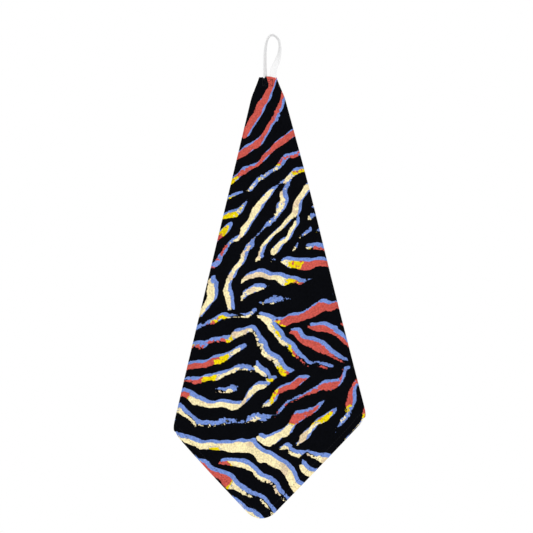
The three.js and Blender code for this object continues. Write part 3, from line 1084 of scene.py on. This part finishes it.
@dataclass(frozen=True)
class SewingThread:
    """Spun polyester thread, twisted, with painted shade in the grooves of its twist."""

    name: str
    # lit and shaded copies of the thread's colour: painted highlight on the twist's crests, painted shade in
    # its grooves
    light: tuple[float, float, float]
    dark: tuple[float, float, float]

    def material(self, twist: bpy.types.NodeTree) -> bpy.types.Material:
        """Builds the material.

        Args:
            twist: The yarn twist group.

        Returns:
            The material.
        """
        finish = Finish(self.name)
        s = finish.sketch
        height = finish.group(twist, {"Vector": finish.cloth, "Strand": 0.0009}).outputs["Height"]
        rough = s.spread(height, 0.75, 0.5)
        # painted shade: the twist's grooves take the dark colour, its crests the light one
        return finish.shade(Base_Color=s.mix(height, rgba(self.dark), rgba(self.light)),
                            Roughness=rough, Specular_IOR_Level=0.15,
                            Sheen_Weight=0.03, Normal=s.bump(height, 0.6, 0.00012))


@dataclass(frozen=True)
class WovenTape:
    """White twill tape: fine slanted ribs, thicker at the two woven edges, with painted shade in the grooves
    between its ribs.
    """

    rib: float = 0.0009
    width: float = 0.008

    def material(self) -> bpy.types.Material:
        """Builds the material."""
        finish = Finish("white_woven_tape")
        s = finish.sketch
        parts = s.add("ShaderNodeSeparateXYZ", {0: finish.cloth})
        across, along = parts.outputs[0], parts.outputs[1]
        turned = s.math("ABSOLUTE", across)
        ribs = s.math("SINE", s.math("MULTIPLY", s.math("ADD", along, s.math("MULTIPLY", turned, 0.8)),
                                     2.0 * math.pi / self.rib))
        warp = s.math("SINE", s.math("MULTIPLY", across, 2.0 * math.pi / (self.rib * 0.8)))
        weave = s.math("ADD", s.math("MULTIPLY", ribs, 0.3),
                       s.math("ADD", s.math("MULTIPLY", warp, 0.2), 0.5))
        lint = s.noise(finish.cloth, 900.0, 3.0)
        height = s.math("ADD", weave, s.math("MULTIPLY", lint, 0.25))
        # painted shade: grey in the weave's grooves, white on its ribs, with faint random lint
        colour = s.mix(height, rgba((0.68, 0.68, 0.69)), rgba((0.89, 0.89, 0.888)))
        rough = s.spread(height, 0.95, 0.75)
        return finish.shade(Base_Color=colour, Roughness=rough, Sheen_Weight=0.15,
                            Specular_IOR_Level=0.3, Normal=s.bump(height, 0.5, 0.00022))


@dataclass(frozen=True)
class Wardrobe:
    """All of the towel's finishes."""

    printed: bpy.types.Material
    plain: bpy.types.Material
    dark_thread: bpy.types.Material
    tape: bpy.types.Material

    @classmethod
    def new(cls) -> "Wardrobe":
        """Builds the shared groups and the finishes."""
        pile, twist = pile_group(), twist_group()
        # the thread's lit colour, then its painted shade colour
        thread = SewingThread("dark_thread", (0.005, 0.005, 0.007), (0.002, 0.002, 0.003))
        return cls(PrintedTerry().material(pile), PlainTerry().material(pile), thread.material(twist),
                   WovenTape().material())


def dress(piece: bpy.types.Object, slot: Slot, *materials: bpy.types.Material) -> None:
    """Gives a piece its materials."""
    for material in materials:
        piece.data.materials.append(material)


# ---------------------------------------------------------------- the towel's panels


def spaced(low: float, high: float, step: float) -> Array:
    """Even values from low to high, about a step apart."""
    return np.linspace(low, high, max(2, round(abs(high - low) / step) + 1))


@dataclass
class TowelCloth:
    """The printed square, as a front and two pleated wings."""

    cloth: HangingCloth
    zebra: ZebraPrint
    wardrobe: Wardrobe
    grid: float = 2.3
    wing_from: float = 14.5
    arc_columns: int = 11
    tip_chord: float = 0.06
    fold_band: float = 0.11
    fold_tilt: float = 0.14
    crease_band: float = 0.36

    def front(self) -> Panel:
        """The front, between the two folds."""
        cut, cloth = self.cloth.cut, self.cloth
        wrap = cut.hem_wrap * math.sqrt(2.0)
        back = cut.set_back / cut.drape
        feet = [(f.foot_u + f.slope * f.foot_v - back - cut.diagonal + wrap) / (1 + f.slope)
                for f in cloth.folds]
        top = -cut.set_off_from
        tip = cut.tip_inset + cut.hem_wrap + self.tip_chord - cut.diagonal
        low_foot, high_foot = sorted(feet)
        curve = 1.0 - np.sin(np.linspace(0.0, math.pi / 2.0, 64))
        heights = np.concatenate([spaced(top, high_foot, self.grid),
                                  spaced(high_foot, low_foot, self.grid)[1:],
                                  (tip + (low_foot - tip) * curve)[1:]])
        radius = cut.corner_radius - cut.hem_wrap
        centre = cut.corner_radius * math.sqrt(2.0)
        above = heights + cut.diagonal
        on_tip = np.sqrt(np.maximum(0.0, radius**2 - (above - centre) ** 2))
        at_edge = np.where(above < centre - radius * math.sqrt(0.5), on_tip, above - wrap)
        shoulder = cut.shoulder_out * (1.0 - smoothstep(-heights, *cut.shoulder_fade))
        sides = [np.minimum((f.half_width(heights) - cut.set_back + shoulder) / cut.drape, at_edge)
                 for f in cloth.folds]
        share = np.linspace(0.0, 1.0, 101)
        u = -sides[0][:, None] + (sides[0] + sides[1])[:, None] * share[None, :]
        v = np.repeat(heights[:, None], len(share), axis=1)
        ends = []
        for fold in cloth.folds:
            back = cut.set_back / math.sin(fold.foot_angle) * math.sqrt(0.5)
            ends.append(np.array([fold.side * (fold.foot_u - back), fold.foot_v - back]))
        edge = Edge.through([ends[0], np.array([0.0, -cut.diagonal]), ends[1]], cut.corner_radius, 1)
        return Panel("front", cloth, cloth.front, lambda p, q: (p, q), (u, v), edge, -1.0,
                     self.zebra, (0.0, float(edge.run[-1])))

    @staticmethod
    def rows_of(fold: Fold, stops: list[tuple[Array, Array, int]], t: Array) -> tuple[Array, Array]:
        """Surface coordinates of rows across a wing.

        Args:
            fold: The wing's fold.
            stops: For each stretch, where each row starts and ends, and its number of points.
            t: Each row's share of the fold line's length.

        Returns:
            The distances across and down.
        """
        parts = []
        for number, (low, high, count) in enumerate(stops):
            share = np.linspace(0.0, 1.0, count)[1 if number else 0:]
            parts.append(low[:, None] + (high - low)[:, None] * share[None, :])
        across = np.concatenate(parts, axis=1)
        return across, fold.down_at(t[:, None], across)

    def rows_down(self, fold: Fold) -> Array:
        """Each row's share of the fold line, from the wing's top to its covered edge."""
        low = 1.0 - self.cloth.cut.hem_wrap / (fold.length * math.sin(fold.foot_angle))
        return spaced(self.wing_from / fold.length, low, self.grid / fold.length)

    def inner(self, fold: Fold) -> Panel:
        """A wing's fold and its inner layer."""
        cloth, back = self.cloth, self.cloth.cut.set_back
        t = self.rows_down(fold)
        near, crease = np.full_like(t, back), fold.across_at(t, -back, fold.inner_angle)
        rows = self.rows_of(fold, [(-near, near, self.arc_columns), (near, crease, 46)], t)
        sin, cos = math.sin(fold.foot_angle), math.cos(fold.foot_angle)
        starts = [-back, float(fold.across_at(np.array(1.0), -back, fold.inner_angle))]
        ends = [np.array([a, fold.length - a * cos / sin]) for a in starts]
        edge = Edge.through(ends, 0.0, 1)
        edge.into[:] = (-cos, -sin)
        return Panel(fold.name + "_inner", cloth, cloth.wing(fold), lambda p, q: cloth.flat_of(fold, p, q),
                     rows, edge, fold.side, self.zebra, (back / sin,))

    def outer(self, fold: Fold) -> Panel:
        """A wing's crease and its outer layer, with the cloth's side corner and free edge."""
        cut, cloth, back = self.cloth.cut, self.cloth, self.cloth.cut.set_back
        t = self.rows_down(fold)
        inner, whole = fold.inner_angle, fold.wing_angle
        before, after = fold.across_at(t, -back, inner), fold.across_at(t, back, inner)
        free = fold.across_at(t, -cut.hem_wrap, whole)
        a, b = self.rows_of(fold, [(before, after, self.arc_columns), (after, free, 46)], t)
        sin, cos = math.sin(fold.foot_angle), math.cos(fold.foot_angle)
        into_low, into_free = np.array([-cos, -sin]), np.array([-math.cos(whole), math.sin(whole)])
        across = float(fold.across_at(np.array(1.0), 0.0, whole))
        corner = np.array([across, fold.length - across * cos / sin])
        centre = corner + cut.corner_radius * (into_low + into_free)
        x = -((a - centre[0]) * into_low[0] + (b - centre[1]) * into_low[1])
        y = -((a - centre[0]) * into_free[0] + (b - centre[1]) * into_free[1])
        outside = (x > 0) & (y > 0)
        share = np.where(outside, np.maximum(x, y) / np.maximum(np.hypot(x, y), 1e-9), 1.0)
        a, b = centre[0] + (a - centre[0]) * share, centre[1] + (b - centre[1]) * share
        start = float(fold.across_at(np.array(1.0), -back, inner))
        top = (self.wing_from + 2.0) * np.array([math.sin(whole), math.cos(whole)]) * 1.1
        edge = Edge.through([np.array([start, fold.length - start * cos / sin]), corner, top],
                            cut.corner_radius, -1)
        return Panel(fold.name + "_outer", cloth, cloth.wing(fold), lambda p, q: cloth.flat_of(fold, p, q),
                     (a, b), edge, fold.side, self.zebra)

    def build(self) -> None:
        """Builds, dresses and hangs every panel."""
        panels = [(self.front(), ("front",))]
        for fold in self.cloth.folds:
            panels.append((self.inner(fold), ("front", fold.name + "_inner")))
            panels.append((self.outer(fold), (fold.name + "_inner", fold.name + "_outer")))
        for panel, bodies in panels:
            sheet, hem, stitches = panel.sheet(), panel.hem(), panel.stitching()
            dress(sheet, Slot.PRINT, self.wardrobe.printed, self.wardrobe.plain)
            dress(hem, Slot.PRINT, self.wardrobe.printed)
            dress(stitches, Slot.THREAD, self.wardrobe.dark_thread)
            for piece, node in ((sheet, "_panel"), (hem, "_hem"), (stitches, "_hem_thread")):
                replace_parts(piece, panel.name + node)
                if len(bodies) == 1:
                    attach(piece, bodies[0])
                else:
                    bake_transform(piece)
            flat, area = self.flat_size(panel)
            log.info("%s: %d faces, flat %.3f by %.3f m", sheet.name, len(sheet.data.polygons), *flat)

    @staticmethod
    def flat_size(panel: Panel) -> tuple[tuple[float, float], float]:
        """The flat size of a panel's cut, laid square to its longest way, and its area, in metres."""
        u, v = panel.flat(*panel.rows)
        cell = np.abs((u[1:, 1:] - u[:-1, :-1]) * (v[1:, :-1] - v[:-1, 1:])
                      - (u[1:, :-1] - u[:-1, 1:]) * (v[1:, 1:] - v[:-1, :-1])) / 2.0
        sizes = [(float(np.ptp(u * math.cos(k) + v * math.sin(k))),
                  float(np.ptp(v * math.cos(k) - u * math.sin(k))))
                 for k in np.radians(np.arange(0.0, 90.0, 1.0))]
        width, length = sorted(min(sizes, key=lambda size: size[0] * size[1]))
        return (width * MM, length * MM), float(cell.sum()) * MM * MM


# ---------------------------------------------------------------- loop and corner


def catmull_rom(stops: Array, t: Array) -> Array:
    """Points of a centripetal Catmull-Rom curve.

    Args:
        stops: The points that it passes.
        t: Shares of the way, evenly spread over the stops.

    Returns:
        One point for each share.
    """
    ends = [2.0 * stops[0] - stops[1], *stops, 2.0 * stops[-1] - stops[-2]]
    out = []
    for place in np.clip(t, 0.0, 1.0) * (len(stops) - 1):
        k = min(int(place), len(stops) - 2)
        p0, p1, p2, p3 = ends[k:k + 4]
        d0, d1, d2 = (max(math.sqrt(float(np.linalg.norm(b - a))), 1e-4)
                      for a, b in ((p0, p1), (p1, p2), (p2, p3)))
        m1 = ((p1 - p0) / d0 - (p2 - p0) / (d0 + d1) + (p2 - p1) / d1) * d1
        m2 = ((p2 - p1) / d1 - (p3 - p1) / (d1 + d2) + (p3 - p2) / d2) * d1
        w = place - k
        out.append(p1 * (2 * w**3 - 3 * w**2 + 1) + m1 * (w**3 - 2 * w**2 + w)
                   + p2 * (3 * w**2 - 2 * w**3) + m2 * (w**3 - w**2))
    return np.array(out)


@dataclass
class HangingLoop:
    """The woven tape: a loop over the hook, its sewn-down ends and the rolled corner that holds them."""

    cloth: HangingCloth
    zebra: ZebraPrint
    wardrobe: Wardrobe
    drop: float = 49.0
    width: float = 8.0
    thickness: float = 1.1
    sunk: float = 3.4  # of the tape's ends, into the rolled corner
    roll_radius: float = 1.55
    roll_width: float = 20.4
    roll_sag: float = 2.6
    roll_drop: float = 0.9
    roll_back: float = 0.15
    tack_spread: float = 6.6
    tack_pitch: float = 1.1
    tack_lean: float = 0.35
    tail_length: float = 12.0
    tail_width: float = 7.2
    tail_offset: float = 3.75
    tail_gap: float = 0.28
    box_top: float = 2.4
    box_foot: float = 10.4
    box_half_width: float = 6.2
    box_stitch: float = 2.1
    route: tuple[tuple[float, float, float], ...] = (
        (-7.6, 1, 34), (-7.9, 0.673, 30), (-7.5, 0.38, 24), (-5.5, 0.14, 18), (-2.6, 0.02, 14),
        (1, -0.02, 14), (5.8, 0.025, 14), (9.2, 0.118, 16), (10.6, 0.265, 20), (9.9, 0.455, 34),
        (6.9, 0.653, 62), (3.2, 0.827, 82), (2.1, 1, 84))

    def section(self, count: int = 20) -> Array:
        """The tape's cross-section: flat faces and slightly thicker woven edges."""
        angle = np.arange(count) * 2.0 * math.pi / count
        cos, sin = np.cos(angle), np.sin(angle)
        x = np.sign(cos) * np.abs(cos) ** 0.35 * self.width / 2.0
        y = np.sign(sin) * np.abs(sin) ** 0.55 * self.thickness / 2.0
        return np.stack([x, y * (0.86 + 0.14 * (np.abs(x) / (self.width / 2.0)) ** 4)], axis=-1)

    def tape(self, name: str, path: Array, across: Array, through: Array) -> bpy.types.Object:
        """A closed tape along a path.

        Args:
            name: The piece's name.
            path: Its middle line.
            across: Unit widthwise direction at each point.
            through: Unit direction through its thickness.

        Returns:
            The piece.
        """
        section = self.section()
        points = (path[:, None] + across[:, None] * section[None, :, :1]
                  + through[:, None] * section[None, :, 1:])
        piece = new_piece(name, points.reshape(-1, 3), tube_faces(len(path), len(section)), 70.0)
        run = np.concatenate([[0.0], np.cumsum(np.linalg.norm(np.diff(path, axis=0), axis=1))])
        set_uv(piece, np.tile(section[:, 0], len(path)), np.repeat(run, len(section)))
        return piece

    def loop(self) -> bpy.types.Object:
        """The loop itself, twisted as it springs from the corner."""
        stops = np.array([[x, 0.0, -share * self.drop] for x, share, _ in self.route])
        turns = np.radians([turn for *_, turn in self.route])
        t = np.linspace(0.0, 1.0, 190)
        path = catmull_rom(stops, t)
        turn = np.interp(t * (len(stops) - 1), np.arange(len(stops)), turns)
        tangent = unit(np.gradient(path, axis=0))
        lead = np.array([[0.0, 0.0, -self.sunk * share] for share in (1.0, 0.66, 0.33)])
        path = np.concatenate([path[:1] + lead, path, path[-1:] + lead[::-1]])
        tangent = np.concatenate([tangent[:1]] * 3 + [tangent] + [tangent[-1:]] * 3)
        turn = np.concatenate([turn[:1]] * 3 + [turn] + [turn[-1:]] * 3)[:, None]
        sideways = np.stack([tangent[:, 2], np.zeros(len(tangent)), -tangent[:, 0]], axis=-1)
        across = np.array([[0.0, 1.0, 0.0]]) * np.cos(turn) + sideways * np.sin(turn)
        through = unit(np.cross(across, tangent))
        log.info("loop tape: %.1f mm long", float(np.linalg.norm(np.diff(path, axis=0), axis=1).sum()))
        return self.tape("hanging_tape", path, across, through)

    def roll_middle(self, x: Array) -> Array:
        """Points of the rolled corner's middle line, at distances from its own middle."""
        sag = self.roll_sag * np.abs(x / (self.roll_width / 2.0)) ** 2.4
        z = -self.cloth.cut.seam_drop - self.roll_drop - sag
        return np.stack([self.cloth.cut.corner_x + x, np.full_like(sag, self.roll_back), z], axis=-1)

    def roll(self) -> bpy.types.Object:
        """The corner's tip, rolled back over the tape's ends."""
        cut, sides = self.cloth.cut, 24
        share = np.sin(np.linspace(-math.pi / 2.0, math.pi / 2.0, 60))
        radius = self.roll_radius * np.maximum(1.0 - np.abs(share) ** 5.0, 0.0) ** 0.5 + 0.02
        centre = self.roll_middle(share * self.roll_width / 2.0)
        angle = np.arange(sides) * 2.0 * math.pi / sides
        flatness = 1.0 + 0.35 * np.maximum(-np.sin(angle), 0.0)
        ring = np.stack([np.zeros(sides), np.cos(angle) * 1.05, np.sin(angle) * flatness], axis=-1)
        points = centre[:, None] + ring[None] * radius[:, None, None]
        piece = new_piece("rolled_corner", points.reshape(-1, 3), tube_faces(len(share), sides), 80.0)
        u = np.repeat(share * self.roll_width / 2.0 / cut.drape, sides)
        behind = (np.cos(angle) > 0) * 4.0
        v = np.tile(-cut.set_off_from + np.sin(angle) * self.roll_radius - behind, len(share))
        set_uv(piece, u, v)
        set_fields(piece, self.zebra.fields(u, v))
        return piece

    def tack(self) -> bpy.types.Object:
        """Dense stitches over the rolled corner."""
        work = ThreadWork()
        way = np.linspace(math.radians(-50.0), math.radians(95.0), 12)
        radius = self.roll_radius + 0.10
        rise = radius * np.sin(way) * np.where(np.sin(way) < 0, 1.35, 1.0)
        for number, x in enumerate(np.arange(-self.tack_spread, self.tack_spread + 0.01, self.tack_pitch)):
            lean = self.tack_lean if number % 2 else -self.tack_lean
            over = np.stack([lean * np.cos(way), 1.05 * radius * np.cos(way), rise], axis=-1)
            centre = self.roll_middle(x) + over
            tangent = unit(np.gradient(centre, axis=0))
            side = unit(np.array([[1.0, 0.0, 0.0]]) - tangent * tangent[:, :1])
            work.add(centre, side * 0.24, np.cross(tangent, side) * 0.18, way * radius)
        return work.piece("corner_tack_stitches")

    def tails(self) -> list[bpy.types.Object]:
        """The tape's two ends, sewn flat behind the corner."""
        cut, pieces = self.cloth.cut, []
        v = -np.linspace(cut.set_off_from + 0.4, cut.set_off_from + self.tail_length, 30)
        lift = cut.thickness / 2.0 + self.tail_gap + self.thickness / 2.0
        depth = self.cloth.front_depth(np.zeros_like(v), v) + lift
        across = np.tile(np.array([[self.tail_width / self.width, 0.0, 0.0]]), (len(v), 1))
        through = np.tile(np.array([[0.0, 1.0, 0.0]]), (len(v), 1))
        for name, middle in (("left_tape_end", -self.tail_offset), ("right_tape_end", self.tail_offset)):
            path = self.cloth.world(np.full_like(v, middle), depth, v)
            pieces.append(self.tape(name, path, across, through))
        return pieces

    def tail_stitches(self) -> bpy.types.Object:
        """A sewn box with a cross, through the tape's ends and the cloth."""
        cut, wide, work = self.cloth.cut, self.box_half_width, ThreadWork()
        high, low = -cut.set_off_from - self.box_top, -cut.set_off_from - self.box_foot
        corners = [(-wide, high), (wide, high), (wide, low), (-wide, low), (-wide, high), (wide, low),
                   (wide, high), (-wide, low)]
        swell = np.array([0.5, 0.9, 1.0, 0.9, 0.5])[:, None]
        on_tape = cut.thickness / 2.0 + self.tail_gap + self.thickness * 0.98
        for (u0, v0), (u1, v1) in zip(corners, corners[1:]):
            count = max(2, round(math.hypot(u1 - u0, v1 - v0) / self.box_stitch))
            for k in range(count):
                share = (k + 0.5 + np.array([-0.4, -0.28, 0.0, 0.28, 0.4])) / count
                u, v = u0 + (u1 - u0) * share, v0 + (v1 - v0) * share
                depth = self.cloth.front_depth(np.zeros_like(v), v)
                for lift, out in ((on_tape, 1.0), (-cut.thickness / 2.0 - 0.03, -1.0)):
                    dip = out * 0.14 * np.array([1.0, 0.4, 0.0, 0.4, 1.0])
                    centre = self.cloth.world(u, depth + lift - dip, v)
                    side = np.cross(unit(np.gradient(centre, axis=0)), [[0.0, 1.0, 0.0]])
                    work.add(centre, side * swell * 0.3, swell * np.array([[0.0, 0.2, 0.0]]), share * 8.0)
        return work.piece("tape_end_stitches")

    def build(self) -> None:
        """Builds, dresses and hangs the loop and the corner."""
        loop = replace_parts(self.loop(), "hanging_loop")
        dress(loop, Slot.TAPE, self.wardrobe.tape)
        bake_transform(loop)
        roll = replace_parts(self.roll(), "corner_tack")
        dress(roll, Slot.PRINT, self.wardrobe.printed)
        tack, stitches = self.tack(), self.tail_stitches()
        dress(tack, Slot.THREAD, self.wardrobe.dark_thread)
        dress(stitches, Slot.THREAD, self.wardrobe.dark_thread)
        tails = self.tails()
        for tail in tails:
            dress(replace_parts(tail, "loop_tail"), Slot.TAPE, self.wardrobe.tape)
        for piece in (roll, tack, stitches, *tails):
            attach(piece, "front")
            log.info("%s: %d faces", piece.name, len(piece.data.polygons))


# ---------------------------------------------------------------- studio


@dataclass
class Studio:
    """A pale floor, soft light and a long lens in front of the towel."""

    centre: tuple[float, float, float] = (-0.0059, -0.005, -0.2849)
    framed: float = 0.657
    distance: float = 4.2
    floor_z: float = -1.62
    floor_side: float = 24.0

    def build(self) -> None:
        """Sets up the floor, world, lamps and camera."""
        self.floor()
        self.world()
        self.lamp("key_softbox", (-1.5, -2.6, 1.1), 2.2, 47.0)
        self.lamp("fill_softbox", (1.9, -2.2, 0.2), 2.2, 27.0)
        self.lamp("back_softbox", (0.8, 2.6, 0.8), 2.0, 30.0)
        self.camera()
        bpy.context.scene.view_settings.view_transform = "Standard"

    def floor(self) -> None:
        """A wide pale floor with a soft mottle."""
        bpy.ops.object.select_all(action="DESELECT")
        bpy.ops.mesh.primitive_plane_add(size=self.floor_side, location=(0.0, 0.0, self.floor_z))
        floor = bpy.context.object
        floor.name = "studio_floor"
        material = bpy.data.materials.new("studio_floor")
        material.use_nodes = True
        s = Sketch(material.node_tree)
        shader = material.node_tree.nodes["Principled BSDF"]
        place = s.add("ShaderNodeTexCoord").outputs["Object"]
        mottle = s.mix(s.noise(place, 3.0), rgba((0.84, 0.84, 0.84)), rgba((0.9, 0.9, 0.9)))
        s.set(shader.inputs["Base Color"], mottle)
        s.set(shader.inputs["Roughness"], 0.9)
        floor.data.materials.append(material)

    def world(self) -> None:
        """White all round, brighter to the eye than as a light."""
        world = bpy.data.worlds.new("studio")
        world.use_nodes = True
        world.node_tree.nodes.clear()
        s = Sketch(world.node_tree)
        seen = s.add("ShaderNodeBackground", {"Color": (1.0, 1.0, 1.0, 1.0), "Strength": 1.0})
        light = s.add("ShaderNodeBackground", {"Color": (1.0, 1.0, 1.0, 1.0), "Strength": 0.55})
        choose = s.add("ShaderNodeMixShader", {0: s.add("ShaderNodeLightPath").outputs["Is Camera Ray"],
                                               1: light.outputs[0], 2: seen.outputs[0]})
        out = s.add("ShaderNodeOutputWorld")
        s.set(out.inputs["Surface"], choose.outputs[0])
        bpy.context.scene.world = world

    def lamp(self, name: str, offset: tuple[float, float, float], size: float, power: float) -> None:
        """A square area light that faces the towel.

        Args:
            name: The lamp's name.
            offset: Its place from the towel's middle.
            size: Its side in metres.
            power: In watts.
        """
        data = bpy.data.lights.new(name, "AREA")
        data.size = size
        data.energy = power
        lamp = bpy.data.objects.new(name, data)
        lamp.location = [c + o for c, o in zip(self.centre, offset)]
        direction = [-o for o in offset]
        lamp.rotation_mode = "QUATERNION"
        lamp.rotation_quaternion = Vector(direction).to_track_quat("-Z", "Y")
        bpy.context.scene.collection.objects.link(lamp)

    def camera(self) -> None:
        """A level camera straight in front."""
        data = bpy.data.cameras.new("camera")
        data.sensor_width = 36.0
        data.lens = data.sensor_width * self.distance / self.framed
        camera = bpy.data.objects.new("camera", data)
        camera.location = (self.centre[0], self.centre[1] - self.distance, self.centre[2])
        camera.rotation_euler = (math.radians(90.0), 0.0, 0.0)
        bpy.context.scene.collection.objects.link(camera)
        bpy.context.scene.camera = camera


def main() -> None:
    """Builds the studio, the cloth and the loop in order."""
    logging.basicConfig(level=logging.INFO, format="%(message)s")
    Studio().build()
    wardrobe = Wardrobe.new()
    zebra = ZebraPrint()
    cloth = HangingCloth(Cut())
    TowelCloth(cloth, zebra, wardrobe).build()
    HangingLoop(cloth, zebra, wardrobe).build()


if __name__ == "__main__":
    main()
